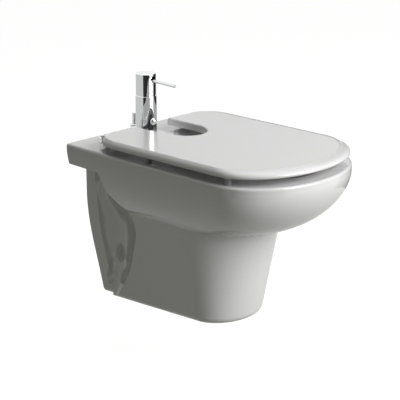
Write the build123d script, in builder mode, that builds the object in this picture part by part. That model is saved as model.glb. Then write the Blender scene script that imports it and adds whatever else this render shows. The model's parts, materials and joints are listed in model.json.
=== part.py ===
from build123d import *
import math
import os

os.makedirs("parts", exist_ok=True)

# Wall hung bidet with a notched lid, a single lever mixer and a pop-up waste.
# The origin is midway between the two wall fixing holes, on the wall face.
# X runs along the wall, the bidet reaches out to -Y and Z is up. Millimetres.

# Ceramic body
deck_z = 80.0
body_half_width = 177.5
body_reach = 566.0
deck_taper = 7.0
front_round = 126.0
front_round_loss = 16.0
rim_band = 14.0
bowl_drop = 136.0
side_tuck = 57.5
rear_tuck = 45.0
front_tuck = 159.0
front_fullness = 1.7
deck_thickness = 45.0
rim_edge_round = 5.0
body_side_end = 200.0

# Pedestal, wall flange and the scooped sides between them
pedestal_drop = 372.0
pedestal_top_drop = 100.0
pedestal_round = 110.0
pedestal_round_draft = 0.18
side_taper = 0.5
seam_lap = 3.0
pedestal_side_draft = 0.172
pedestal_front_draft = 0.19
bottom_drop_at_wall = 362.0
bottom_rise = 2.6
bottom_round = 18.0
flange_depth = 33.0
flange_inset = 60.5
flange_waist_inset = 83.5
flange_foot_inset = 101.5
flange_shoulder_drop = 110.0
flange_waist_drop = 262.0
flange_foot_drop = 339.0
flange_foot_draft = 0.22
scoop_flare = 0.45
scoop_reach = 40.0

# Hollow inside of the ceramic
wall = 11.0
top_wall = 14.0
back_wall = 14.0
foot_wall = 13.0
deck_side_wall = 18.5
deck_corner = 6.0
deck_hollow_front = 112.0
pedestal_hollow_rear = 195.0
opening_half_width = 58.0
back_opening_drop = 118.0
foot_opening_reach = 290.0

# Bowl
rim_width = 42.0
bowl_rear = 134.0
bowl_depth = 142.0
bowl_seat_radius = 34.0
waste_y = -215.0
waste_hole_radius = 23.0
waste_recess_depth = 3.0
overflow_drop = 36.0
overflow_width = 26.0
overflow_height = 12.0
duct_gap = 8.0
duct_depth = 9.0
duct_wall = 8.0

# Holes in the deck and the wall
fixing_spacing = 180.0
fixing_hole_radius = 9.0
tap_y = -67.0
tap_hole_radius = 17.5
rod_y = -30.0
rod_hole_radius = 6.2
hinge_y = -70.0
hinge_x = 113.0
hinge_hole_radius = 6.0

# Lid
lid_side_gap = 0.5
lid_front_gap = 6.0
lid_rear = 80.0
lid_front_round = 123.0
lid_round_loss = 0.35
lid_corner = 58.0
lid_corner_stretch = 1.25
lid_edge_height = 15.2
lid_tuck = 3.0
lid_front_tuck = 7.5
lid_wall = 4.0
notch_half_width = 51.0
notch_front = 231.0
notch_round = 66.0
notch_edge_round = 3.0
bumper_radius = 7.0
bumper_height = 13.0
bumper_stem_radius = 2.5
bumper_stem_length = 6.0
bumper_inset = 17.5
bumper_ys = (-235.0, -453.0)
rest_gap = 0.3

# Hinge
hinge_height = 13.5
knuckle_radius = 7.7
post_half_length = 8.0
knuckle_length = 16.0
pin_radius = 3.5
bush_wall = 1.0
hinge_cap_length = 3.0
post_foot_radius = 13.0
post_foot_height = 3.0
hinge_seal_thickness = 1.5
hinge_stud_radius = 4.0
hinge_stud_grip = 6.0
hinge_sleeve_radius = 8.0
hinge_sleeve_drop = 10.0
hinge_nut_height = 5.0

# Mixer
mixer_radius = 23.0
mixer_body_height = 87.5
mixer_foot_gap = 0.6
cap_radius = 21.9
cap_gap = 2.0
cap_height = 46.5
cap_wall = 3.0
chamber_radius = 18.5
chamber_depth = 41.0
cartridge_height = 33.0
cartridge_nut_height = 7.0
trim_inset = 1.3
inlet_radius = 5.0
inlet_depth = 14.0
inlet_x = 7.5
inlet_y = -5.0
mixer_stud_radius = 4.0
mixer_stud_y = 9.0
mixer_stud_grip = 16.0
mixer_stud_drop = 24.0
base_seal_radius = 21.5
base_seal_height = 2.6
cartridge_neck_radius = 8.5
cartridge_neck_height = 3.5
stem_radius = 5.0
clamp_radius = 24.0
clamp_mouth_half = 13.5
clamp_height = 2.0
outlet_height = 33.0
outlet_ball_radius = 9.0
outlet_collar_radius = 11.5
outlet_set_back = 4.0
outlet_dip = 20.0
aerator_radius = 4.6
aerator_depth = 5.0
lever_height = 122.5
lever_pivot_y = -8.0
lever_radius = 3.5
lever_reach = 88.0
lever_hub_radius = 5.5
lever_slot_half_width = 4.6
lever_slot_below = 4.6
lever_slot_above = 9.0
lever_droop = 2.0
lever_hub_half = 4.5
lever_pin_radius = 1.5
lever_pin_half = 8.0
fork_gap = 0.3
fork_wall = 3.2
web_height = 6.0
cap_edge_round = 1.6
grub_radius = 2.0
grub_length = 8.0

# Pop-up waste
lift_travel = 36.0
knob_radius = 5.0
knob_height = 24.0
lift_rod_radius = 2.5
lift_rod_drop = 142.0
guide_radius = 9.2
guide_height = 18.5
guide_shank_radius = 5.6
pivot_drop = 63.0
pivot_offset = 24.0
pivot_ball_radius = 5.0
pivot_rod_radius = 2.5
strap_thickness = 1.6
strap_half_width = 6.0
flange_disc_radius = 31.0
waste_tube_radius = 20.5
overflow_hole_radius = 3.0
waste_bore_radius = 18.0
waste_body_length = 102.7
tail_radius = 16.0
tail_wall = 1.6
tail_length = 78.0
tail_spigot_radius = 15.6
tail_spigot = 8.0
tail_lip = 4.0
tail_nut_radius = 25.0
tail_nut_height = 14.0
plug_radius = 22.0
plug_height = 4.0
plug_stem_radius = 3.0
plug_seat_radius = 17.5
flange_tube_wall = 2.3
flange_tube_length = 30.0
port_radius = 10.5
port_reach = 34.0
port_thread_length = 8.0
pivot_nut_hole = 4.6
strap_stand_off = 0.4
strap_holes = 5
strap_hole_pitch = 12.0
clamp_block_height = 14.0
clamp_screw_radius = 2.0

# Fits, and how far a cut starts outside what it cuts
cut_over = 2.0
running_gap = 0.05
sliding_gap = 0.1
loose_gap = 0.3


def save(part, name):
    """Label one finished piece and write it as its own STEP file."""
    part.label = name
    export_step(part, f"parts/{name}.step")


def at_drop(drop):
    """Horizontal plane that lies the given drop below the deck."""
    return Plane.XY.offset(deck_z - drop)


def d_plan(half_width, front, front_semi, rear, rear_half_width):
    """D shaped outline: straight rear, near straight sides and an elliptical front."""
    front_centre = front - front_semi
    side_end = min(body_side_end, (front_centre + rear) / 2)
    with BuildSketch() as plan:
        with BuildLine():
            Line((0, -rear), (rear_half_width, -rear))
            Spline(
                (rear_half_width, -rear),
                (half_width, -side_end),
                tangents=[(half_width - rear_half_width, rear - side_end), (0, -1)],
            )
            Line((half_width, -side_end), (half_width, -front_centre))
            EllipticalCenterArc((0, -front_centre), half_width, front_semi, -90, arc_size=90)
            mirror(about=Plane.YZ)
        make_face()
    return plan.sketch


def oval_plan(half_width, rear, widest, front):
    """Oval outline made of four quarter ellipses that meet at its widest line."""
    with BuildSketch() as plan:
        with BuildLine():
            EllipticalCenterArc((0, -widest), half_width, widest - rear, 0, arc_size=90)
            EllipticalCenterArc((0, -widest), half_width, front - widest, -90, arc_size=90)
            mirror(about=Plane.YZ)
        make_face()
    return plan.sketch


# Outer form of the bowl: vertical rim band, then sides and front that tuck in under it
def bowl_outline(drop, inset=0.0, rear=0.0):
    share = max(0.0, (drop - rim_band) / (bowl_drop - rim_band))
    under = 1 - math.sqrt(max(0.0, 1 - share**front_fullness))
    half_width = body_half_width - side_tuck * share**2 - inset
    wall_half_width = body_half_width - deck_taper - rear_tuck * share**1.5
    return d_plan(
        half_width,
        body_reach - front_tuck * under - inset,
        front_round - front_round_loss * share - inset,
        rear,
        half_width - side_taper if rear else wall_half_width,
    )


pedestal_half_width = body_half_width - side_tuck + seam_lap
pedestal_front = body_reach - front_tuck + seam_lap


def pedestal_outline(drop, inset=0.0, rear=0.0):
    fall = drop - bowl_drop
    half_width = pedestal_half_width - pedestal_side_draft * fall - inset
    return d_plan(
        half_width,
        pedestal_front - pedestal_front_draft * fall - inset,
        pedestal_round - pedestal_round_draft * fall - inset,
        rear,
        half_width - side_taper,
    )


bowl_drops = (0, rim_band, 34, 58, 87, 110, 125, 133, bowl_drop)
with BuildPart() as bowl_form:
    for drop in bowl_drops[1:]:
        with BuildSketch(at_drop(drop)):
            add(bowl_outline(drop))
    loft()
    with BuildSketch(at_drop(rim_band)):
        add(bowl_outline(rim_band))
    extrude(amount=rim_band)
    rim_edges = bowl_form.faces().sort_by(Axis.Z)[-1].edges().filter_by(
        lambda edge: edge.center().Y < -1
    )
    fillet(rim_edges, rim_edge_round)

# The foot slopes up a little towards the front
foot_plane = Plane(
    origin=(0, 0, deck_z - bottom_drop_at_wall),
    z_dir=(0, math.sin(math.radians(bottom_rise)), math.cos(math.radians(bottom_rise))),
)

with BuildPart() as pedestal_form:
    for drop in (pedestal_top_drop, pedestal_drop):
        with BuildSketch(at_drop(drop)):
            add(pedestal_outline(drop))
    loft(ruled=True)
    split(bisect_by=foot_plane, keep=Keep.TOP)
    foot_edges = pedestal_form.faces().sort_by(Axis.Z)[0].edges().filter_by(
        lambda edge: edge.center().Y < -1
    )
    fillet(foot_edges, bottom_round)

# Flange that stands against the wall, narrower towards its foot
flange_half_width = body_half_width - flange_inset
flange_foot_half_width = body_half_width - flange_foot_inset
flange_end_half_width = flange_foot_half_width - flange_foot_draft * (pedestal_drop - flange_foot_drop)
flange_top = deck_z - deck_thickness + rim_edge_round
flange_shoulder = (flange_half_width, deck_z - flange_shoulder_drop)
flange_waist = (body_half_width - flange_waist_inset, deck_z - flange_waist_drop)
flange_foot = (flange_foot_half_width, deck_z - flange_foot_drop)
flange_end = (flange_end_half_width, deck_z - pedestal_drop)
with BuildPart() as flange_form:
    with BuildSketch(Plane.XZ):
        with BuildLine():
            Polyline((0, flange_end[1]), (0, flange_top), (flange_half_width, flange_top), flange_shoulder)
            Spline(
                flange_shoulder, flange_waist, flange_foot, tangents=[(0, -1), (-flange_foot_draft, -1)]
            )
            Polyline(flange_foot, flange_end, (0, flange_end[1]))
        make_face()
        mirror(about=Plane.YZ)
    extrude(amount=flange_depth)
    split(bisect_by=foot_plane, keep=Keep.TOP)
    foot_sides = flange_form.faces().sort_by(Axis.Z)[0].edges().filter_by(
        lambda edge: abs(edge.center().X) > 1
    )
    fillet(foot_sides, bottom_round)

# Scoops that part the flange from the body on both sides. Each row gives a drop, the scoop's
# inset from the body's side, its crease's distance from the wall, its slope and its corner.
niche_levels = (
    (deck_thickness, 64.5, 92, 0.0, 14),
    (80, 64.5, 101, 0.05, 18),
    (112, 73.5, 122, 0.15, 26),
    (bowl_drop, 84.5, 150, 0.3, 30),
    (165, 93.5, 168, 0.5, 34),
    (215, 98.5, 160, 0.7, 30),
    (290, 100.5, 125, 0.9, 20),
    (380, 101.5, 92, 1.0, 8),
)


def niche_outline(inset, crease_y, slope, corner):
    floor_x = body_half_width - inset
    outside = body_half_width + scoop_reach
    niche_rear = flange_depth - cut_over
    crease_x = floor_x + scoop_flare * (crease_y - flange_depth)
    crease = (crease_x, -crease_y)
    corner_rear = (floor_x + corner, -niche_rear)
    corner_front = (floor_x, -flange_depth - corner)
    outer_front = (outside, -crease_y - slope * (outside - crease_x))
    with BuildSketch() as plan:
        with BuildLine():
            Spline(corner_rear, corner_front, tangents=[(-1, 0), (0, -1)])
            Spline(corner_front, crease, tangents=[(0, -1), (1, -slope)])
            Polyline(crease, outer_front, (outside, -niche_rear), corner_rear)
        make_face()
    return plan.sketch


with BuildPart() as niche_form:
    for drop, *scoop in niche_levels:
        with BuildSketch(at_drop(drop)):
            add(niche_outline(*scoop))
    loft()
    mirror(about=Plane.YZ)

# Inside of the bowl, and the same form grown by the ceramic's wall
bowl_rows = (
    (0, 0, 0, 330, 0),
    (40, 3, 5, 328, 3),
    (80, 16, 18, 316, 22),
    (110, 38, 34, 292, 67),
    (130, 68, 50, 258, 140),
)


def bowl_rings(grow):
    rings = [
        at_drop(drop + (grow if drop else 0))
        * oval_plan(
            body_half_width - rim_width - side + grow,
            bowl_rear + rear - grow,
            widest,
            body_reach - rim_width - 2 - front + grow,
        )
        for drop, side, rear, widest, front in bowl_rows
    ]
    seat_radius = bowl_seat_radius + grow
    seat = oval_plan(seat_radius, -waste_y - seat_radius, -waste_y, -waste_y + seat_radius)
    return rings + [at_drop(bowl_depth + grow) * seat]


with BuildPart() as bowl_hollow:
    loft(sections=bowl_rings(0))
    with BuildSketch(at_drop(bowl_depth)):
        with Locations((0, waste_y)):
            Circle(flange_disc_radius + 1)
    extrude(amount=-waste_recess_depth)

with BuildPart() as bowl_shell:
    loft(sections=bowl_rings(wall))
    with BuildSketch(at_drop(bowl_depth)):
        with Locations((0, waste_y)):
            Circle(flange_disc_radius + 8)
    extrude(amount=-(waste_recess_depth + wall))

# Overflow channel: it follows the back of the bowl down, then turns in to the waste hole
recess_floor = deck_z - bowl_depth - waste_recess_depth
overflow_holes_z = recess_floor - wall / 2
bowl_back = [(-bowl_rear - rear, deck_z - drop) for drop, side, rear, widest, front in bowl_rows[1:]]
duct_top = deck_z - overflow_drop + overflow_height
slot_start = bowl_rear + bowl_rows[1][2] - duct_gap - duct_depth / 2


def duct_form(near, far, spread, reach, margin):
    """Channel between two distances behind the bowl, or the block of ceramic around it."""
    roof = overflow_holes_z + overflow_hole_radius + min(margin, waste_recess_depth)
    floor = overflow_holes_z - overflow_hole_radius - margin
    near_side = [(y + near, z) for y, z in bowl_back]
    far_side = [(y + far, z) for y, z in bowl_back]
    with BuildPart() as piece:
        with BuildSketch(Plane.YZ):
            with BuildLine():
                Polyline(
                    (near_side[0][0], duct_top + margin),
                    *near_side,
                    (near_side[-1][0], roof),
                    (reach, roof),
                    (reach, floor),
                    (far_side[-1][0], floor),
                    *reversed(far_side),
                    (far_side[0][0], duct_top + margin),
                    close=True,
                )
            make_face()
        extrude(amount=spread, both=True)
    return piece.part


duct_far = duct_gap + duct_depth
duct_half = overflow_width / 2 - cut_over
waste_hole_back = waste_y + waste_hole_radius
seal_back = waste_y + flange_disc_radius + cut_over
duct_channel = duct_form(duct_gap, duct_far, duct_half, waste_hole_back - duct_wall, 0)
duct_block = duct_form(duct_gap / 2, duct_far + duct_wall, duct_half + duct_wall, seal_back, duct_wall)

# Hollow under the deck, down the back and inside the pedestal. Each row of the shaft gives a
# drop and the shaft's inset from the side of the wall flange.
shaft_rows = ((28, 17), (98, 23), (140, 51), (pedestal_drop, 55))
shaft_depth = pedestal_hollow_rear + wall - back_wall
deck_hollow_half_width = body_half_width - deck_taper - deck_side_wall
with BuildPart() as under_hollow:
    with BuildSketch(at_drop(top_wall)):
        with Locations((0, -(back_wall + deck_hollow_front) / 2)):
            RectangleRounded(2 * deck_hollow_half_width, deck_hollow_front - back_wall, deck_corner)
    extrude(amount=-(deck_thickness - top_wall - wall))
    for drop, inset in shaft_rows:
        with BuildSketch(at_drop(drop)):
            with Locations((0, -back_wall - shaft_depth / 2)):
                Rectangle(2 * (flange_half_width - inset), shaft_depth)
    loft(ruled=True)
    with BuildSketch(at_drop(top_wall)):
        add(bowl_outline(rim_band, inset=wall, rear=pedestal_hollow_rear))
    for drop in bowl_drops[2:]:
        with BuildSketch(at_drop(drop - wall)):
            add(bowl_outline(drop, inset=wall, rear=pedestal_hollow_rear))
    loft(ruled=True)
    for drop in (pedestal_top_drop + wall + 1, pedestal_drop):
        with BuildSketch(at_drop(drop)):
            add(pedestal_outline(drop, inset=wall + 1, rear=pedestal_hollow_rear))
    loft(ruled=True)
    split(bisect_by=foot_plane.offset(foot_wall), keep=Keep.TOP)
    add(bowl_shell.part, mode=Mode.SUBTRACT)
    add(duct_block, mode=Mode.SUBTRACT)

with BuildPart() as bidet_body:
    add(bowl_form.part)
    add(pedestal_form.part)
    with BuildSketch(at_drop(deck_thickness)):
        with Locations((0, -flange_depth / 2)):
            Rectangle(4 * body_half_width, flange_depth)
    extrude(amount=-pedestal_drop, mode=Mode.SUBTRACT)
    add(niche_form.part, mode=Mode.SUBTRACT)
    add(flange_form.part)
    add(under_hollow.part, mode=Mode.SUBTRACT)
    add(bowl_hollow.part, mode=Mode.SUBTRACT)
    with BuildSketch(Plane.XZ.offset(-cut_over)):
        with Locations((0, deck_z - (back_opening_drop + pedestal_drop) / 2)):
            Rectangle(2 * opening_half_width, pedestal_drop - back_opening_drop)
    extrude(amount=back_wall + 2 * cut_over, mode=Mode.SUBTRACT)
    with BuildSketch(at_drop(bottom_drop_at_wall - 2 * foot_wall - bottom_round)):
        with Locations((0, -(foot_opening_reach - opening_half_width) / 2)):
            Rectangle(2 * opening_half_width, foot_opening_reach - opening_half_width)
        with Locations((0, opening_half_width - foot_opening_reach)):
            Circle(opening_half_width)
    extrude(amount=-pedestal_drop, mode=Mode.SUBTRACT)
    with BuildSketch(Plane.XZ.offset(-cut_over)):
        with GridLocations(fixing_spacing, 0, 2, 1):
            Circle(fixing_hole_radius)
    extrude(amount=back_wall + 2 * cut_over, mode=Mode.SUBTRACT)
    with BuildSketch(Plane.XY.offset(deck_z + cut_over)):
        with Locations((0, tap_y)):
            Circle(tap_hole_radius)
        with Locations((0, rod_y)):
            Circle(rod_hole_radius)
        with Locations((-hinge_x, hinge_y), (hinge_x, hinge_y)):
            Circle(hinge_hole_radius)
    extrude(amount=-(top_wall + 2 * cut_over), mode=Mode.SUBTRACT)
    with BuildSketch(Plane.XY.offset(recess_floor + cut_over)):
        with Locations((0, waste_y)):
            Circle(waste_hole_radius)
    extrude(amount=-(wall + 2 * cut_over), mode=Mode.SUBTRACT)
    add(duct_channel, mode=Mode.SUBTRACT)
    with BuildSketch(Plane.XZ.offset(slot_start)):
        with Locations((0, deck_z - overflow_drop)):
            SlotOverall(overflow_width, overflow_height)
    extrude(amount=duct_gap + duct_depth, mode=Mode.SUBTRACT)
save(bidet_body.part, "bidet_body")


# Lid: a shell with rolled edges and a notch that clears the mixer
lid_half_width = body_half_width - lid_side_gap
lid_front = body_reach - lid_front_gap


def lid_plan(side, front_inset, rear_inset):
    """Outline of the lid, drawn in from its outer size by the given insets."""
    half_width = lid_half_width - side
    rear = lid_rear + rear_inset
    corner = lid_corner - side
    corner_end = rear + lid_corner_stretch * corner
    front_semi = lid_front_round - lid_round_loss * front_inset
    centre = lid_front - front_inset - front_semi
    with BuildSketch() as plan:
        with BuildLine():
            Line((0, -rear), (half_width - corner, -rear))
            EllipticalCenterArc(
                (half_width - corner, -corner_end), corner, lid_corner_stretch * corner, 0, arc_size=90
            )
            Line((half_width, -corner_end), (half_width, -centre))
            EllipticalCenterArc((0, -centre), half_width, front_semi, -90, arc_size=90)
            mirror(about=Plane.YZ)
        make_face()
    return plan.sketch


# Rise above the lid's lower edge, then the insets of side, front and rear
lid_rows = (
    (0.0, lid_tuck, lid_front_tuck, 1.5),
    (1.4, 1.2, 3.2, 0.6),
    (3.8, 0.0, 0.0, 0.0),
    (6.8, 0.0, 0.0, 0.0),
    (10.8, 1.6, 3.5, 1.2),
    (13.5, 4.2, 9.5, 3.4),
    (15.3, 9.0, 22.0, 8.0),
)
lid_depth = lid_rows[-1][0]
lid_top_height = lid_edge_height + lid_depth

# The same rises and insets for the lid's inside, with its rise taken from the top
lid_inside_rows = (
    (lid_depth + cut_over, lid_tuck, lid_front_tuck, 1.5),
    (lid_wall + 4, lid_tuck + 1, lid_front_tuck + 3, 2.5),
    (lid_wall, lid_tuck + 6, lid_front_tuck + 14, 8.0),
)


def notch_plan(grow):
    half_width = notch_half_width + grow
    with BuildSketch() as plan:
        with BuildLine():
            Polyline((0, 0), (half_width, 0), (half_width, notch_round - notch_front))
            EllipticalCenterArc(
                (0, notch_round - notch_front), half_width, notch_round + grow, -90, arc_size=90
            )
            mirror(about=Plane.YZ)
        make_face()
    return plan.sketch


def lid_level(height):
    return Plane.XY.offset(deck_z + height)


with BuildPart() as lid_inside:
    for fall, side, front_inset, rear_inset in lid_inside_rows:
        with BuildSketch(lid_level(lid_top_height - fall)):
            add(lid_plan(lid_wall + side, lid_wall + front_inset, lid_wall + rear_inset))
    loft(ruled=True)
    with BuildSketch(lid_level(lid_edge_height - cut_over)):
        add(notch_plan(lid_wall))
    extrude(amount=lid_depth + 2 * cut_over, mode=Mode.SUBTRACT)

# Lugs that carry the lid on its hinge pins, one on each side of both posts
hinge_z = deck_z + hinge_height
inner_lug_x = hinge_x - post_half_length - loose_gap - knuckle_length
outer_lug_x = hinge_x + post_half_length + loose_gap
with BuildPart() as lid_lugs:
    for start in (inner_lug_x, outer_lug_x):
        with BuildSketch(Plane.YZ.offset(start)):
            with Locations((hinge_y, hinge_z)):
                Circle(knuckle_radius)
            with Locations((-lid_rear - 13, deck_z + lid_top_height - lid_wall - 3)):
                Rectangle(12, 7)
            make_hull()
        extrude(amount=knuckle_length)
    mirror(about=Plane.YZ)

bumper_x = body_half_width - bumper_inset
bumper_places = [(x, y) for y in bumper_ys for x in (-bumper_x, bumper_x)]

with BuildPart() as lid:
    for rise, side, front_inset, rear_inset in lid_rows:
        with BuildSketch(lid_level(lid_edge_height + rise)):
            add(lid_plan(side, front_inset, rear_inset))
    loft()
    with BuildSketch(lid_level(lid_edge_height - cut_over)):
        add(notch_plan(0))
    extrude(amount=lid_depth + 2 * cut_over, mode=Mode.SUBTRACT)
    notch_edges = lid.faces().sort_by(Axis.Z)[-1].edges().filter_by(
        lambda edge: abs(edge.center().X) < notch_half_width + 1 and edge.center().Y > -notch_front - 1
    )
    fillet(notch_edges, notch_edge_round)
    add(lid_inside.part, mode=Mode.SUBTRACT)
    add(lid_lugs.part)
    for x, y in bumper_places:
        with BuildSketch(lid_level(lid_top_height - lid_wall + 0.5)):
            with Locations((x, y)):
                Circle(bumper_radius + 1)
        extrude(amount=-(lid_top_height - lid_wall + 0.5 - bumper_height))
        with BuildSketch(lid_level(bumper_height)):
            with Locations((x, y)):
                Circle(bumper_stem_radius)
        extrude(amount=bumper_stem_length, mode=Mode.SUBTRACT)
    with BuildSketch(Plane.YZ.offset(-lid_half_width)):
        with Locations((hinge_y, hinge_z)):
            Circle(pin_radius)
    extrude(amount=2 * lid_half_width, mode=Mode.SUBTRACT)
save(lid.part, "lid")

with BuildPart() as lid_bumpers:
    for x, y in bumper_places:
        with BuildSketch(lid_level(rest_gap)):
            with Locations((x, y)):
                Circle(bumper_radius)
        extrude(amount=bumper_height - rest_gap)
        with BuildSketch(lid_level(bumper_height)):
            with Locations((x, y)):
                Circle(bumper_stem_radius)
        extrude(amount=bumper_stem_length)
save(lid_bumpers.part, "lid_bumpers")


def ring(level, radius, bore, height, centre):
    """Flat ring or washer with its lower face at the given level."""
    with BuildPart() as piece:
        with BuildSketch(Plane.XY.offset(level)):
            with Locations(centre):
                Circle(radius)
                if bore:
                    Circle(bore, mode=Mode.SUBTRACT)
        extrude(amount=height)
    return piece.part


def hex_nut(level, across_corners, bore, height, centre):
    """Hexagon nut with its lower face at the given level."""
    with BuildPart() as piece:
        with BuildSketch(Plane.XY.offset(level)):
            with Locations(centre):
                RegularPolygon(across_corners / 2, 6)
                Circle(bore, mode=Mode.SUBTRACT)
        extrude(amount=height)
    return piece.part


# Hinge: a post on each side of the deck, its bush, pin, end cap and fixing
foot_z = deck_z + hinge_seal_thickness
with BuildPart() as hinge_posts:
    with BuildSketch(Plane.XY.offset(foot_z)):
        with Locations((hinge_x, hinge_y)):
            Circle(post_foot_radius)
    extrude(amount=post_foot_height)
    fillet(hinge_posts.edges().filter_by(GeomType.CIRCLE).group_by(Axis.Z)[-1], 1.2)
    with BuildSketch(Plane.XY.offset(foot_z)):
        with Locations((hinge_x, hinge_y)):
            Circle(post_half_length - 1)
    extrude(amount=hinge_z - foot_z)
    with BuildSketch(Plane.YZ.offset(hinge_x - post_half_length)):
        with Locations((hinge_y, hinge_z)):
            Circle(knuckle_radius)
    extrude(amount=2 * post_half_length)
    with BuildSketch(Plane.YZ.offset(hinge_x - post_half_length)):
        with Locations((hinge_y, hinge_z)):
            Circle(pin_radius + bush_wall)
    extrude(amount=2 * post_half_length, mode=Mode.SUBTRACT)
    with BuildSketch(Plane.XY.offset(foot_z)):
        with Locations((hinge_x, hinge_y)):
            Circle(hinge_stud_radius)
    extrude(amount=hinge_stud_grip, mode=Mode.SUBTRACT)
    mirror(about=Plane.YZ)
save(hinge_posts.part, "hinge_posts")

with BuildPart() as hinge_bushes:
    with BuildSketch(Plane.YZ.offset(hinge_x - post_half_length)):
        with Locations((hinge_y, hinge_z)):
            Circle(pin_radius + bush_wall)
            Circle(pin_radius + running_gap, mode=Mode.SUBTRACT)
    extrude(amount=2 * post_half_length)
    mirror(about=Plane.YZ)
save(hinge_bushes.part, "hinge_bushes")

pin_length = 2 * (knuckle_length + loose_gap + post_half_length)
with BuildPart() as hinge_pins:
    with BuildSketch(Plane.YZ.offset(inner_lug_x)):
        with Locations((hinge_y, hinge_z)):
            Circle(pin_radius)
    extrude(amount=pin_length)
    mirror(about=Plane.YZ)
save(hinge_pins.part, "hinge_pins")

with BuildPart() as hinge_caps:
    with BuildSketch(Plane.YZ.offset(outer_lug_x + knuckle_length)):
        with Locations((hinge_y, hinge_z)):
            Circle(knuckle_radius)
    extrude(amount=hinge_cap_length)
    fillet(hinge_caps.edges().filter_by(GeomType.CIRCLE).group_by(Axis.X)[-1], 1.2)
    mirror(about=Plane.YZ)
save(hinge_caps.part, "hinge_caps")

with BuildPart() as hinge_seals:
    add(ring(deck_z, post_foot_radius - 1, hinge_stud_radius, hinge_seal_thickness, (hinge_x, hinge_y)))
    mirror(about=Plane.YZ)
save(hinge_seals.part, "hinge_seals")

# Each stud is held from above by a rubber sleeve that its nut swells under the deck
deck_under = deck_z - top_wall
hinge_nut_z = deck_under - hinge_sleeve_drop - hinge_nut_height
with BuildPart() as hinge_studs:
    stud_foot = hinge_nut_z - 1
    stud_length = foot_z + hinge_stud_grip - stud_foot
    add(ring(stud_foot, hinge_stud_radius, 0, stud_length, (hinge_x, hinge_y)))
    mirror(about=Plane.YZ)
save(hinge_studs.part, "hinge_studs")

with BuildPart() as hinge_sleeves:
    sleeve_foot = deck_under - hinge_sleeve_drop
    neck_radius = hinge_hole_radius - sliding_gap
    add(ring(sleeve_foot, hinge_sleeve_radius, hinge_stud_radius, hinge_sleeve_drop, (hinge_x, hinge_y)))
    add(ring(deck_under, neck_radius, hinge_stud_radius, top_wall, (hinge_x, hinge_y)))
    mirror(about=Plane.YZ)
save(hinge_sleeves.part, "hinge_sleeves")

with BuildPart() as hinge_nuts:
    add(ring(hinge_nut_z, hinge_sleeve_radius, hinge_stud_radius, hinge_nut_height, (hinge_x, hinge_y)))
    mirror(about=Plane.YZ)
save(hinge_nuts.part, "hinge_nuts")

# Mixer: a turned body on the tap hole with a ball outlet low on its front
tap = (0, tap_y)
mixer_foot = deck_z + mixer_foot_gap
mixer_top = deck_z + mixer_body_height
chamber_floor = mixer_top - chamber_depth
outlet_y = tap_y - mixer_radius + outlet_set_back
outlet_z = deck_z + outlet_height
collar_rear = outlet_y + 3
with BuildPart() as mixer_body:
    with BuildSketch(Plane.XY.offset(mixer_foot)):
        with Locations(tap):
            Circle(mixer_radius)
    extrude(amount=mixer_top - mixer_foot)
    chamfer(mixer_body.edges().filter_by(GeomType.CIRCLE), 0.6)
    with BuildSketch(Plane.XY.offset(mixer_top)):
        with Locations(tap):
            Circle(chamber_radius)
    extrude(amount=-chamber_depth, mode=Mode.SUBTRACT)
    with BuildSketch(Plane.XY.offset(mixer_foot)):
        with Locations(tap):
            Circle(base_seal_radius)
            Circle(tap_hole_radius + 0.5, mode=Mode.SUBTRACT)
    extrude(amount=base_seal_height - mixer_foot_gap, mode=Mode.SUBTRACT)
    with BuildSketch(Plane.XY.offset(mixer_foot)):
        with Locations((-inlet_x, tap_y + inlet_y), (inlet_x, tap_y + inlet_y)):
            Circle(inlet_radius)
    extrude(amount=inlet_depth, mode=Mode.SUBTRACT)
    with BuildSketch(Plane.XY.offset(mixer_foot)):
        with Locations((-inlet_x, tap_y + inlet_y), (inlet_x, tap_y + inlet_y)):
            Circle(inlet_radius / 2)
    extrude(amount=chamber_floor - mixer_foot, mode=Mode.SUBTRACT)
    with BuildSketch(Plane.XY.offset(mixer_foot)):
        with Locations((0, tap_y + mixer_stud_y)):
            Circle(mixer_stud_radius)
    extrude(amount=mixer_stud_grip, mode=Mode.SUBTRACT)
    with BuildSketch(Plane.XZ.offset(-collar_rear)):
        with Locations((0, outlet_z)):
            Circle(outlet_collar_radius)
    extrude(amount=mixer_radius, mode=Mode.SUBTRACT)
    with Locations((0, outlet_y, outlet_z)):
        Sphere(outlet_ball_radius + sliding_gap, mode=Mode.SUBTRACT)
    with BuildSketch(Plane.XY.offset(chamber_floor)):
        with Locations((0, outlet_y + 4)):
            Circle(inlet_radius / 2)
    extrude(amount=-(chamber_floor - outlet_z), mode=Mode.SUBTRACT)
save(mixer_body.part, "mixer_body")

with BuildPart() as outlet_collar:
    with BuildSketch(Plane.XZ.offset(-collar_rear)):
        with Locations((0, outlet_z)):
            Circle(outlet_collar_radius)
    extrude(amount=mixer_radius)
    with BuildSketch(Plane.XY.offset(mixer_foot)):
        with Locations(tap):
            Circle(mixer_radius)
    extrude(amount=mixer_body_height, mode=Mode.INTERSECT)
    with Locations((0, outlet_y, outlet_z)):
        Sphere(outlet_ball_radius + sliding_gap, mode=Mode.SUBTRACT)
save(outlet_collar.part, "outlet_collar")

# The ball points a little down, and its bore holds the aerator
nozzle = Plane(
    origin=(0, outlet_y, outlet_z),
    x_dir=(1, 0, 0),
    z_dir=(0, -math.cos(math.radians(outlet_dip)), -math.sin(math.radians(outlet_dip))),
)
with BuildPart() as outlet_ball:
    with Locations((0, outlet_y, outlet_z)):
        Sphere(outlet_ball_radius)
    with BuildSketch(nozzle.offset(-outlet_ball_radius)):
        Circle(aerator_radius - 1.5)
    extrude(amount=3 * outlet_ball_radius, mode=Mode.SUBTRACT)
    with BuildSketch(nozzle.offset(outlet_ball_radius - aerator_depth)):
        Circle(aerator_radius)
    extrude(amount=2 * aerator_depth, mode=Mode.SUBTRACT)
save(outlet_ball.part, "outlet_ball")

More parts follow.
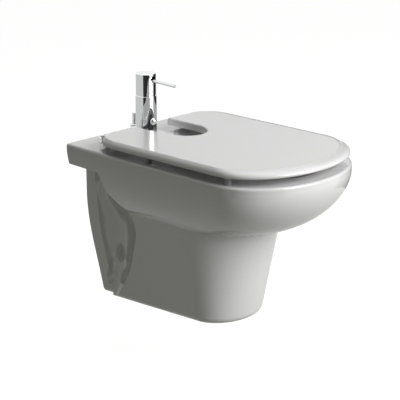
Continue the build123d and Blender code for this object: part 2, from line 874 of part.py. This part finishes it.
with BuildPart() as aerator:
    with BuildSketch(nozzle.offset(outlet_ball_radius - aerator_depth)):
        Circle(aerator_radius)
        with HexLocations(1.3, 3, 3):
            Circle(0.8, mode=Mode.SUBTRACT)
    extrude(amount=aerator_depth - 1.2)
save(aerator.part, "aerator")

save(ring(deck_z, base_seal_radius, tap_hole_radius + 0.5, base_seal_height, tap), "mixer_base_seal")

with BuildPart() as cartridge:
    add(ring(chamber_floor, chamber_radius - loose_gap, 0, cartridge_height, tap))
    add(ring(chamber_floor + cartridge_height, cartridge_neck_radius, 0, cartridge_neck_height, tap))
save(cartridge.part, "cartridge")

nut_floor = chamber_floor + cartridge_height
cartridge_nut = ring(
    nut_floor, chamber_radius - sliding_gap, cartridge_neck_radius, cartridge_nut_height, tap
)
save(cartridge_nut, "cartridge_nut")
trim_ring = ring(mixer_top, cap_radius - trim_inset, chamber_radius + 0.5, cap_gap - loose_gap, tap)
save(trim_ring, "mixer_trim_ring")

# Cap that turns on the body, with a fork that carries the lever
cap_foot = mixer_top + cap_gap
cap_top = cap_foot + cap_height
lever_y = tap_y + lever_pivot_y
lever_z = deck_z + lever_height
cap_bore = cap_radius - cap_wall
web_z = cap_foot + 12
with BuildPart() as mixer_cap:
    with BuildSketch(Plane.XY.offset(cap_foot)):
        with Locations(tap):
            Circle(cap_radius)
    extrude(amount=cap_height)
    fillet(mixer_cap.edges().filter_by(GeomType.CIRCLE).group_by(Axis.Z)[-1], cap_edge_round)
    with BuildSketch(Plane.XY.offset(cap_foot)):
        with Locations(tap):
            Circle(cap_bore)
    extrude(amount=cap_height - cap_wall, mode=Mode.SUBTRACT)
    with BuildSketch(Plane.XY.offset(web_z)):
        with Locations(tap):
            Circle(cap_bore)
            Circle(stem_radius, mode=Mode.SUBTRACT)
    extrude(amount=web_height)
    for side in (-1, 1):
        with BuildSketch(Plane.XY.offset(cap_top - cap_wall)):
            with Locations((side * (lever_hub_half + fork_gap + fork_wall / 2), lever_y)):
                Rectangle(fork_wall, 2 * lever_hub_radius)
        extrude(amount=-(cap_top - cap_wall - lever_z + lever_hub_radius - 1))
    with BuildSketch(Plane.YZ.offset(-lever_pin_half)):
        with Locations((lever_y, lever_z)):
            Circle(lever_pin_radius)
    extrude(amount=2 * lever_pin_half, mode=Mode.SUBTRACT)
    with BuildSketch(Plane.XZ.offset(-tap_y + 2)):
        with Locations((0, lever_z + (lever_slot_above - lever_slot_below) / 2)):
            SlotOverall(lever_slot_above + lever_slot_below, 2 * lever_slot_half_width, rotation=90)
    extrude(amount=cap_radius, mode=Mode.SUBTRACT)
    with BuildSketch(Plane.XZ.offset(-tap_y - stem_radius)):
        with Locations((0, web_z + web_height / 2)):
            Circle(grub_radius)
    extrude(amount=-2 * cap_radius, mode=Mode.SUBTRACT)
save(mixer_cap.part, "mixer_cap")

stem_foot = nut_floor + cartridge_neck_height + loose_gap
stem_top = lever_z - lever_hub_radius - 1.5
save(ring(stem_foot, stem_radius, 0, stem_top - stem_foot, tap), "cartridge_stem")

with BuildPart() as cap_grub_screw:
    with BuildSketch(Plane.XZ.offset(-tap_y - stem_radius)):
        with Locations((0, web_z + web_height / 2)):
            Circle(grub_radius)
    extrude(amount=-grub_length)
    with BuildSketch(Plane.XZ.offset(-tap_y - stem_radius - grub_length)):
        with Locations((0, web_z + web_height / 2)):
            RegularPolygon(1.1, 6)
    extrude(amount=2, mode=Mode.SUBTRACT)
save(cap_grub_screw.part, "cap_grub_screw")

lever_line = Plane(
    origin=(0, lever_y, lever_z),
    x_dir=(1, 0, 0),
    z_dir=(0, -math.cos(math.radians(lever_droop)), -math.sin(math.radians(lever_droop))),
)
with BuildPart() as lever:
    with BuildSketch(Plane.YZ.offset(-lever_hub_half)):
        with Locations((lever_y, lever_z)):
            Circle(lever_hub_radius)
    extrude(amount=2 * lever_hub_half)
    with BuildSketch(lever_line):
        Circle(lever_radius)
    extrude(amount=lever_reach + lever_pivot_y)
    chamfer(lever.edges().filter_by(GeomType.CIRCLE).sort_by(Axis.Y)[0], 0.5)
    with BuildSketch(Plane.YZ.offset(-lever_hub_half)):
        with Locations((lever_y, lever_z)):
            Circle(lever_pin_radius + running_gap)
    extrude(amount=2 * lever_hub_half, mode=Mode.SUBTRACT)
save(lever.part, "lever")

with BuildPart() as lever_pin:
    with BuildSketch(Plane.YZ.offset(-lever_pin_half)):
        with Locations((lever_y, lever_z)):
            Circle(lever_pin_radius)
    extrude(amount=2 * lever_pin_half)
save(lever_pin.part, "lever_pin")

# Fixing of the mixer under the deck
mixer_stud_foot = deck_under - mixer_stud_drop
mixer_stud_length = mixer_foot + mixer_stud_grip - mixer_stud_foot
stud_place = (0, tap_y + mixer_stud_y)
save(ring(mixer_stud_foot, mixer_stud_radius, 0, mixer_stud_length, stud_place), "mixer_stud")


def clamp_half(level):
    """Horseshoe under the deck, open at the front for the supply hoses."""
    with BuildPart() as piece:
        with BuildSketch(Plane.XY.offset(level)):
            with Locations(tap):
                Circle(clamp_radius)
            with Locations((0, tap_y - clamp_radius / 2 + 1)):
                Rectangle(2 * clamp_mouth_half, clamp_radius + 2, mode=Mode.SUBTRACT)
            with Locations(stud_place):
                Circle(mixer_stud_radius, mode=Mode.SUBTRACT)
        extrude(amount=clamp_height)
    return piece.part


save(clamp_half(deck_under - clamp_height), "clamp_seal")
save(clamp_half(deck_under - 2 * clamp_height), "clamp_plate")
save(hex_nut(deck_under - 2 * clamp_height - 8, 15, mixer_stud_radius, 8, stud_place), "mixer_nut")

# Pop-up waste, worked by the knob behind the mixer
lift_rod_foot = deck_z - lift_rod_drop
rod_place = (0, rod_y)
waste_place = (0, waste_y)
knob_foot = deck_z + guide_height + loose_gap
with BuildPart() as rod_guide:
    add(ring(deck_z, guide_radius, 0, guide_height, rod_place))
    fillet(rod_guide.edges().filter_by(GeomType.CIRCLE).group_by(Axis.Z)[-1], 1.5)
    add(ring(deck_under - 8, guide_shank_radius, 0, top_wall + 8, rod_place))
    add(
        ring(deck_under - 9, lift_rod_radius + running_gap, 0, guide_height + top_wall + 10, rod_place),
        mode=Mode.SUBTRACT,
    )
save(rod_guide.part, "rod_guide")
save(hex_nut(deck_under - 6, 19, guide_shank_radius, 6, rod_place), "rod_guide_nut")

rod_top = knob_foot + knob_height - 5
save(ring(lift_rod_foot, lift_rod_radius, 0, rod_top - lift_rod_foot, rod_place), "lift_rod")
with BuildPart() as lift_knob:
    add(ring(knob_foot, knob_radius, 0, knob_height, rod_place))
    chamfer(lift_knob.edges().filter_by(GeomType.CIRCLE), 0.6)
    add(ring(knob_foot, lift_rod_radius, 0, knob_height - 5, rod_place), mode=Mode.SUBTRACT)
save(lift_knob.part, "lift_knob")

# The pivot rod rocks in the side port of the waste and joins the plug to the strap
waste_under = recess_floor - wall
waste_body_foot = recess_floor - loose_gap - waste_body_length
tail_foot = waste_body_foot - tail_length
pivot_z = recess_floor - pivot_drop
pivot_y = waste_y + pivot_offset
strap_front = rod_y - lift_rod_radius - strap_stand_off - strap_thickness
strap_rear = strap_front + strap_thickness
strap_mid = (strap_front + strap_rear) / 2
rear_arm = strap_mid - pivot_y
rest_tilt = math.degrees(math.asin(lift_travel / 2 / rear_arm))
plug_travel = 2 * pivot_offset * math.sin(math.radians(rest_tilt))
strap_hole_z = pivot_z - rear_arm * math.tan(math.radians(rest_tilt))

block_foot = lift_rod_foot
with BuildPart() as rod_clamp:
    with BuildSketch(Plane.XY.offset(block_foot)):
        with Locations((0, (strap_rear + rod_y + 6) / 2)):
            Rectangle(2 * strap_half_width, rod_y + 6 - strap_rear)
        with Locations(rod_place):
            Circle(lift_rod_radius, mode=Mode.SUBTRACT)
    extrude(amount=clamp_block_height)
    with BuildSketch(Plane.XZ.offset(-rod_y - lift_rod_radius)):
        with Locations((0, block_foot + clamp_block_height / 2)):
            Circle(clamp_screw_radius)
    extrude(amount=-20, mode=Mode.SUBTRACT)
save(rod_clamp.part, "rod_clamp")

with BuildPart() as clamp_screw:
    with BuildSketch(Plane.XZ.offset(-rod_y - lift_rod_radius)):
        with Locations((0, block_foot + clamp_block_height / 2)):
            Circle(clamp_screw_radius)
    extrude(amount=-(6 - lift_rod_radius))
    with BuildSketch(Plane.XZ.offset(-rod_y - 6)):
        with Locations((0, block_foot + clamp_block_height / 2)):
            Circle(2 * clamp_screw_radius)
    extrude(amount=-4)
save(clamp_screw.part, "clamp_screw")

with BuildPart() as link_strap:
    strap_top = block_foot + clamp_block_height
    strap_foot = strap_hole_z - 10
    with BuildSketch(Plane.XZ.offset(-strap_rear)):
        with Locations((0, (strap_top + strap_foot) / 2)):
            SlotOverall(strap_top - strap_foot, 2 * strap_half_width, rotation=90)
        with Locations((0, strap_hole_z)):
            SlotOverall(2 * pivot_rod_radius + 3, 2 * pivot_rod_radius + 1, rotation=90, mode=Mode.SUBTRACT)
        for count in range(1, strap_holes + 1):
            with Locations((0, strap_hole_z + count * strap_hole_pitch)):
                Circle(pivot_rod_radius + 0.3, mode=Mode.SUBTRACT)
    extrude(amount=strap_thickness)
save(link_strap.part, "link_strap")

tilt = math.radians(rest_tilt)
pivot_line = Plane(
    origin=(0, pivot_y, pivot_z), x_dir=(1, 0, 0), z_dir=(0, math.cos(tilt), -math.sin(tilt))
)
with BuildPart() as pivot_rod:
    with BuildSketch(pivot_line.offset(-pivot_offset - 5)):
        Circle(pivot_rod_radius)
    extrude(amount=pivot_offset + 5 + rear_arm + 10)
    with Locations((0, pivot_y, pivot_z)):
        Sphere(pivot_ball_radius)
save(pivot_rod.part, "pivot_rod")

flange_tube_radius = waste_bore_radius - sliding_gap
flange_tube_bore = flange_tube_radius - flange_tube_wall
with BuildPart() as waste_flange:
    add(ring(recess_floor, flange_disc_radius, 0, waste_recess_depth, waste_place))
    chamfer(waste_flange.edges().filter_by(GeomType.CIRCLE).group_by(Axis.Z)[-1], 0.8)
    add(
        ring(recess_floor - flange_tube_length, flange_tube_radius, 0, flange_tube_length, waste_place)
    )
    add(
        ring(recess_floor + 1, plug_seat_radius, 0, waste_recess_depth, waste_place),
        mode=Mode.SUBTRACT,
    )
    add(
        ring(
            recess_floor - flange_tube_length,
            flange_tube_bore,
            0,
            flange_tube_length + waste_recess_depth,
            waste_place,
        ),
        mode=Mode.SUBTRACT,
    )
    with BuildSketch(Plane.YZ.offset(-waste_tube_radius - 1)):
        with Locations((waste_y, overflow_holes_z)):
            Circle(overflow_hole_radius)
    extrude(amount=2 * waste_tube_radius + 2, mode=Mode.SUBTRACT)
save(waste_flange.part, "waste_flange")

with BuildPart() as waste_body:
    add(
        ring(
            waste_body_foot,
            waste_tube_radius,
            waste_bore_radius,
            waste_body_length,
            waste_place,
        )
    )
    with BuildSketch(Plane.XZ.offset(-waste_y - waste_bore_radius - 1)):
        with Locations((0, pivot_z)):
            Circle(port_radius)
    extrude(amount=-(port_reach - waste_bore_radius - 1))
    with BuildSketch(Plane.XZ.offset(-waste_y)):
        with Locations((0, pivot_z)):
            Circle(pivot_ball_radius + loose_gap)
    extrude(amount=-port_reach, mode=Mode.SUBTRACT)
    with BuildSketch(Plane.YZ.offset(-waste_tube_radius - 1)):
        with Locations((waste_y, overflow_holes_z)):
            Circle(overflow_hole_radius)
    extrude(amount=2 * waste_tube_radius + 2, mode=Mode.SUBTRACT)
save(waste_body.part, "waste_body")

port_end = waste_y + port_reach
with BuildPart() as pivot_nut:
    with BuildSketch(Plane.XZ.offset(-(port_end - port_thread_length))):
        with Locations((0, pivot_z)):
            RegularPolygon(port_radius + 4, 6)
            Circle(port_radius, mode=Mode.SUBTRACT)
    extrude(amount=-port_thread_length)
    with BuildSketch(Plane.XZ.offset(-port_end)):
        with Locations((0, pivot_z)):
            RegularPolygon(port_radius + 4, 6)
            Circle(pivot_nut_hole, mode=Mode.SUBTRACT)
    extrude(amount=-3)
save(pivot_nut.part, "pivot_nut")

with BuildPart() as pivot_seal:
    with BuildSketch(Plane.XZ.offset(-(port_end - 2))):
        with Locations((0, pivot_z)):
            Circle(pivot_ball_radius + loose_gap)
            Circle(pivot_nut_hole - 0.4, mode=Mode.SUBTRACT)
    extrude(amount=-2)
save(pivot_seal.part, "pivot_seal")

save(ring(waste_under - 4, flange_disc_radius, waste_tube_radius, 4, waste_place), "waste_seal")
save(hex_nut(waste_under - 14, 2 * flange_disc_radius, waste_tube_radius, 10, waste_place), "waste_back_nut")

# Plug, shown raised by its travel above the seat
plug_foot = deck_z - bowl_depth + loose_gap + plug_travel
eye_z = pivot_z + pivot_offset * math.tan(tilt)
with BuildPart() as plug:
    add(ring(plug_foot, plug_radius, 0, plug_height, waste_place))
    fillet(plug.edges().filter_by(GeomType.CIRCLE).group_by(Axis.Z)[-1], 1.8)
    add(ring(eye_z + 6, plug_stem_radius, 0, plug_foot - eye_z - 6, waste_place))
    with BuildSketch(Plane.XZ.offset(-waste_y - plug_stem_radius)):
        with Locations((0, eye_z)):
            SlotOverall(20, 11, rotation=90)
            SlotOverall(2 * pivot_rod_radius + 2, 2 * pivot_rod_radius + 1, rotation=90, mode=Mode.SUBTRACT)
    extrude(amount=2 * plug_stem_radius)
save(plug.part, "plug")
save(ring(plug_foot - 1.5, plug_seat_radius - 0.7, plug_stem_radius, 1.5, waste_place), "plug_seal")

# Tailpiece with a reduced spigot, held in the waste body by a seal and a nut
with BuildPart() as tailpiece:
    add(ring(tail_foot, tail_radius, 0, tail_length - tail_lip, waste_place))
    add(ring(tail_foot, tail_spigot_radius, 0, tail_length + tail_spigot, waste_place))
    add(
        ring(tail_foot, tail_radius - tail_wall, 0, tail_length + tail_spigot, waste_place),
        mode=Mode.SUBTRACT,
    )
save(tailpiece.part, "tailpiece")
save(ring(waste_body_foot, waste_bore_radius, tail_spigot_radius, tail_lip, waste_place), "tail_seal")
with BuildPart() as tail_nut:
    add(hex_nut(waste_body_foot, 2 * tail_nut_radius, waste_tube_radius, tail_nut_height, waste_place))
    add(hex_nut(waste_body_foot - tail_lip, 2 * tail_nut_radius, tail_spigot_radius, tail_lip, waste_place))
save(tail_nut.part, "tail_nut")
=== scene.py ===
import json

import bpy
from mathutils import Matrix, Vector

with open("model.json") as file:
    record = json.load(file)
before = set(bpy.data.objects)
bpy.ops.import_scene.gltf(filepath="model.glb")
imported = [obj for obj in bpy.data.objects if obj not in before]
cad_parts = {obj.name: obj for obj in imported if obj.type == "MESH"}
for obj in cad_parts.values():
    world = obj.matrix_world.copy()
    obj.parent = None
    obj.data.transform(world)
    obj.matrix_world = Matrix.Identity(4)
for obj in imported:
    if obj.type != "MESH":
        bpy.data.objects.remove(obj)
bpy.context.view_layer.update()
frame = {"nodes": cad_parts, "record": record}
nodes = frame["nodes"]

# Places and sizes, in metres
tap_y = -0.067
floor_z = -0.40
floor_size = 12
centre = (0, -0.28, 0)

# Camera, fitted to the outlines of the body, the lid and the mixer
camera_place = Vector((-2.0886, -2.2163, 0.8566))
camera_aim = Vector((0.0, -0.2267, -0.0345))
camera_lens = 128.55
camera_sensor = 36

# Height of the finish's waves in metres, and the size and detail of its change of tone
wave_height = 0.001
speck_scale = 9.0
speck_detail = 4.0

# Floor: its glow to the camera and to mirrors, and its colour to the camera and to all else
floor_roughness = 0.9
floor_seen_glow = 0.94
floor_mirror_glow = 0.58
floor_seen_tone = (0.25, 0.25, 0.25, 1)
floor_lit_tone = (0.22, 0.22, 0.2, 1)

# World: its level and faint yellow tone for diffuse rays, and its level where it is seen
sky_level = 0.13
sky_seen_level = 1.0
sky_tint = (1.0, 1.0, 0.92, 1)
white = (1, 1, 1, 1)

# Lamps: place, width, height and power
key_place = (0.7, -3.0, 1.45)
key_size = (1.8, 2.2)
key_power = 98
top_place = (0.5, 0.2, 2.6)
top_size = (1.6, 1.6)
top_power = 12

# Dark cards: place, width, height and tone
front_card_place = (-0.75, -0.95, 0.3)
front_card_size = (1.7, 1.5)
front_card_tone = 0.01
side_card_place = (0.9, -0.35, 0.3)
side_card_size = (0.9, 1.3)
side_card_tone = 0.02


def socket(tree, name, way, kind, value=None):
    """Adds a named input or output to a shader group."""
    made = tree.interface.new_socket(name=name, in_out=way, socket_type="NodeSocket" + kind)
    if value is not None:
        made.default_value = value
    return made


def soft_ripple_group():
    """Very low waviness and a faint change of tone, as fired glaze and moulded plastic have."""
    tree = bpy.data.node_groups.new("Soft ripple", "ShaderNodeTree")
    socket(tree, "Colour", "INPUT", "Color", (0.8, 0.8, 0.8, 1))
    socket(tree, "Size", "INPUT", "Float", 20.0)
    socket(tree, "Depth", "INPUT", "Float", 0.1)
    socket(tree, "Tone change", "INPUT", "Float", 0.02)
    socket(tree, "Gloss", "INPUT", "Float", 0.1)
    socket(tree, "Gloss change", "INPUT", "Float", 0.02)
    socket(tree, "Colour", "OUTPUT", "Color")
    socket(tree, "Roughness", "OUTPUT", "Float")
    socket(tree, "Normal", "OUTPUT", "Vector")
    new = tree.nodes.new
    link = tree.links.new
    inputs = new("NodeGroupInput")
    outputs = new("NodeGroupOutput")
    place = new("ShaderNodeTexCoord")
    waves = new("ShaderNodeTexNoise")
    waves.inputs["Detail"].default_value = 1.0
    link(place.outputs["Object"], waves.inputs["Vector"])
    link(inputs.outputs["Size"], waves.inputs["Scale"])
    bump = new("ShaderNodeBump")
    bump.inputs["Distance"].default_value = wave_height
    link(waves.outputs["Fac"], bump.inputs["Height"])
    link(inputs.outputs["Depth"], bump.inputs["Strength"])
    link(bump.outputs["Normal"], outputs.inputs["Normal"])
    specks = new("ShaderNodeTexNoise")
    specks.inputs["Scale"].default_value = speck_scale
    specks.inputs["Detail"].default_value = speck_detail
    link(place.outputs["Object"], specks.inputs["Vector"])
    centred = new("ShaderNodeMath")
    centred.operation = "SUBTRACT"
    centred.inputs[1].default_value = 0.5
    link(specks.outputs["Fac"], centred.inputs[0])
    tone = new("ShaderNodeMath")
    tone.operation = "MULTIPLY_ADD"
    tone.inputs[2].default_value = 1.0
    link(centred.outputs["Value"], tone.inputs[0])
    link(inputs.outputs["Tone change"], tone.inputs[1])
    toned = new("ShaderNodeHueSaturation")
    link(tone.outputs["Value"], toned.inputs["Value"])
    link(inputs.outputs["Colour"], toned.inputs["Color"])
    link(toned.outputs["Color"], outputs.inputs["Colour"])
    gloss = new("ShaderNodeMath")
    gloss.operation = "MULTIPLY_ADD"
    link(centred.outputs["Value"], gloss.inputs[0])
    link(inputs.outputs["Gloss change"], gloss.inputs[1])
    link(inputs.outputs["Gloss"], gloss.inputs[2])
    link(gloss.outputs["Value"], outputs.inputs["Roughness"])
    return tree


soft_ripple = soft_ripple_group()


def finish(name, colour, gloss, ripple=(20.0, 0.1), tone=0.03, gloss_change=0.03, **sockets):
    """Principled material whose colour, roughness and normal come from the ripple group."""
    material = bpy.data.materials.new(name)
    material.use_nodes = True
    tree = material.node_tree
    shader = tree.nodes["Principled BSDF"]
    group = tree.nodes.new("ShaderNodeGroup")
    group.node_tree = soft_ripple
    group.inputs["Colour"].default_value = (*colour, 1)
    group.inputs["Size"].default_value = ripple[0]
    group.inputs["Depth"].default_value = ripple[1]
    group.inputs["Tone change"].default_value = tone
    group.inputs["Gloss"].default_value = gloss
    group.inputs["Gloss change"].default_value = gloss_change
    tree.links.new(group.outputs["Colour"], shader.inputs["Base Color"])
    tree.links.new(group.outputs["Roughness"], shader.inputs["Roughness"])
    tree.links.new(group.outputs["Normal"], shader.inputs["Normal"])
    for socket_name, value in sockets.items():
        shader.inputs[socket_name.replace("_", " ")].default_value = value
    return material


glaze = finish(
    "White glaze", (0.83, 0.83, 0.835), gloss=0.1, ripple=(14.0, 0.12), tone=0.015, gloss_change=0.03,
    Coat_Weight=0.15, Coat_Roughness=0.03,
)
lid_gloss = finish(
    "White lid plastic", (0.83, 0.83, 0.835), gloss=0.2, ripple=(30.0, 0.06), tone=0.01, gloss_change=0.04
)
chrome = finish(
    "Polished chrome", (0.83, 0.84, 0.85), gloss=0.05, ripple=(60.0, 0.03), tone=0.02, gloss_change=0.05,
    Metallic=1.0,
)
dark_rubber = finish(
    "Black rubber", (0.03, 0.03, 0.032), gloss=0.62, ripple=(400.0, 0.3), tone=0.2, gloss_change=0.1
)
grey_rubber = finish(
    "Grey rubber", (0.33, 0.34, 0.34), gloss=0.55, ripple=(400.0, 0.3), tone=0.1, gloss_change=0.1
)
brass = finish(
    "Turned brass", (0.72, 0.52, 0.25), gloss=0.28, ripple=(90.0, 0.2), tone=0.15, gloss_change=0.1,
    Metallic=1.0,
)
steel = finish(
    "Plain steel", (0.56, 0.57, 0.58), gloss=0.3, ripple=(120.0, 0.2), tone=0.1, gloss_change=0.1,
    Metallic=1.0,
)
white_plastic = finish(
    "Matt white plastic", (0.74, 0.74, 0.72), gloss=0.42, ripple=(200.0, 0.15), tone=0.03, gloss_change=0.05
)

finishes = {
    "glazed_ceramic": glaze,
    "lid_plastic": lid_gloss,
    "chrome": chrome,
    "rubber": dark_rubber,
    "pale_rubber": grey_rubber,
    "brass": brass,
    "steel": steel,
    "white_plastic": white_plastic,
}
for subpart in frame["record"]["subparts"]:
    piece = nodes[subpart["node"]]
    piece.data.materials.clear()
    piece.data.materials.append(finishes[subpart["material_slot"]])

# Floor, well below the hanging body
bpy.ops.object.select_all(action="DESELECT")
bpy.ops.mesh.primitive_plane_add(size=floor_size, location=(0, 0, floor_z))
floor = bpy.context.object
floor.name = "floor"
floor_paint = bpy.data.materials.new("Pale floor")
floor_paint.use_nodes = True
floor_tree = floor_paint.node_tree
floor_shader = floor_tree.nodes["Principled BSDF"]
floor_shader.inputs["Roughness"].default_value = floor_roughness
floor_shader.inputs["Specular IOR Level"].default_value = 0.0
floor_shader.inputs["Emission Color"].default_value = white

# The camera sees a white floor that still takes the shadow, mirrors see a light grey one, and
# diffuse rays a darker one
floor_rays = floor_tree.nodes.new("ShaderNodeLightPath")
floor_mirrored = floor_tree.nodes.new("ShaderNodeMath")
floor_mirrored.operation = "MULTIPLY"
floor_mirrored.inputs[1].default_value = floor_mirror_glow
floor_tree.links.new(floor_rays.outputs["Is Glossy Ray"], floor_mirrored.inputs[0])
floor_glow = floor_tree.nodes.new("ShaderNodeMath")
floor_glow.operation = "MULTIPLY_ADD"
floor_glow.inputs[1].default_value = floor_seen_glow
floor_tree.links.new(floor_rays.outputs["Is Camera Ray"], floor_glow.inputs[0])
floor_tree.links.new(floor_mirrored.outputs["Value"], floor_glow.inputs[2])
floor_tree.links.new(floor_glow.outputs["Value"], floor_shader.inputs["Emission Strength"])
floor_tone = floor_tree.nodes.new("ShaderNodeMix")
floor_tone.data_type = "RGBA"
floor_tone.inputs["A"].default_value = floor_lit_tone
floor_tone.inputs["B"].default_value = floor_seen_tone
floor_tree.links.new(floor_rays.outputs["Is Camera Ray"], floor_tone.inputs["Factor"])
floor_tree.links.new(floor_tone.outputs["Result"], floor_shader.inputs["Base Color"])
floor.data.materials.append(floor_paint)

# World: white where the camera or a reflection sees it, a plain level for everything else
world = bpy.data.worlds.new("Studio")
bpy.context.scene.world = world
world.use_nodes = True
world_tree = world.node_tree
sky = world_tree.nodes["Background"]
rays = world_tree.nodes.new("ShaderNodeLightPath")
seen = world_tree.nodes.new("ShaderNodeMath")
seen.operation = "MAXIMUM"
world_tree.links.new(rays.outputs["Is Camera Ray"], seen.inputs[0])
world_tree.links.new(rays.outputs["Is Glossy Ray"], seen.inputs[1])
level = world_tree.nodes.new("ShaderNodeMapRange")
level.inputs["To Min"].default_value = sky_level
level.inputs["To Max"].default_value = sky_seen_level
world_tree.links.new(seen.outputs["Value"], level.inputs["Value"])
world_tree.links.new(level.outputs["Result"], sky.inputs["Strength"])
sky_tone = world_tree.nodes.new("ShaderNodeMix")
sky_tone.data_type = "RGBA"
sky_tone.inputs["A"].default_value = sky_tint
sky_tone.inputs["B"].default_value = white
world_tree.links.new(seen.outputs["Value"], sky_tone.inputs["Factor"])
world_tree.links.new(sky_tone.outputs["Result"], sky.inputs["Color"])


def softbox(name, place, aim, width, height, power):
    """Area lamp that faces a point."""
    lamp = bpy.data.lights.new(name, "AREA")
    lamp.shape = "RECTANGLE"
    lamp.size = width
    lamp.size_y = height
    lamp.energy = power
    holder = bpy.data.objects.new(name, lamp)
    bpy.context.collection.objects.link(holder)
    holder.location = place
    holder.rotation_euler = (Vector(aim) - Vector(place)).to_track_quat("-Z", "Y").to_euler()
    return holder


softbox("key_light", key_place, centre, *key_size, key_power)
softbox("top_light", top_place, centre, *top_size, top_power)


def dark_card(name, place, width, height, tone):
    """Dark card that only mirrors see, for the dark bands in polished chrome."""
    bpy.ops.object.select_all(action="DESELECT")
    bpy.ops.mesh.primitive_plane_add(size=1, location=place)
    card = bpy.context.object
    card.name = name
    card.scale = (width, height, 1)
    mixer_axis = Vector((0, tap_y, place[2]))
    card.rotation_euler = (mixer_axis - Vector(place)).to_track_quat("Z", "Y").to_euler()
    card.visible_camera = False
    card.visible_diffuse = False
    card.visible_shadow = False
    card.visible_transmission = False
    paint = bpy.data.materials.new(name)
    paint.use_nodes = True
    paint.node_tree.nodes["Principled BSDF"].inputs["Base Color"].default_value = (tone, tone, tone, 1)
    card.data.materials.append(paint)


dark_card("front_card", front_card_place, *front_card_size, front_card_tone)
dark_card("side_card", side_card_place, *side_card_size, side_card_tone)

camera_data = bpy.data.cameras.new("camera")
camera_data.lens = camera_lens
camera_data.sensor_width = camera_sensor
camera = bpy.data.objects.new("camera", camera_data)
bpy.context.collection.objects.link(camera)
camera.location = camera_place
camera.rotation_euler = (camera_aim - camera_place).to_track_quat("-Z", "Y").to_euler()
bpy.context.scene.camera = camera
bpy.context.scene.view_settings.view_transform = "Standard"
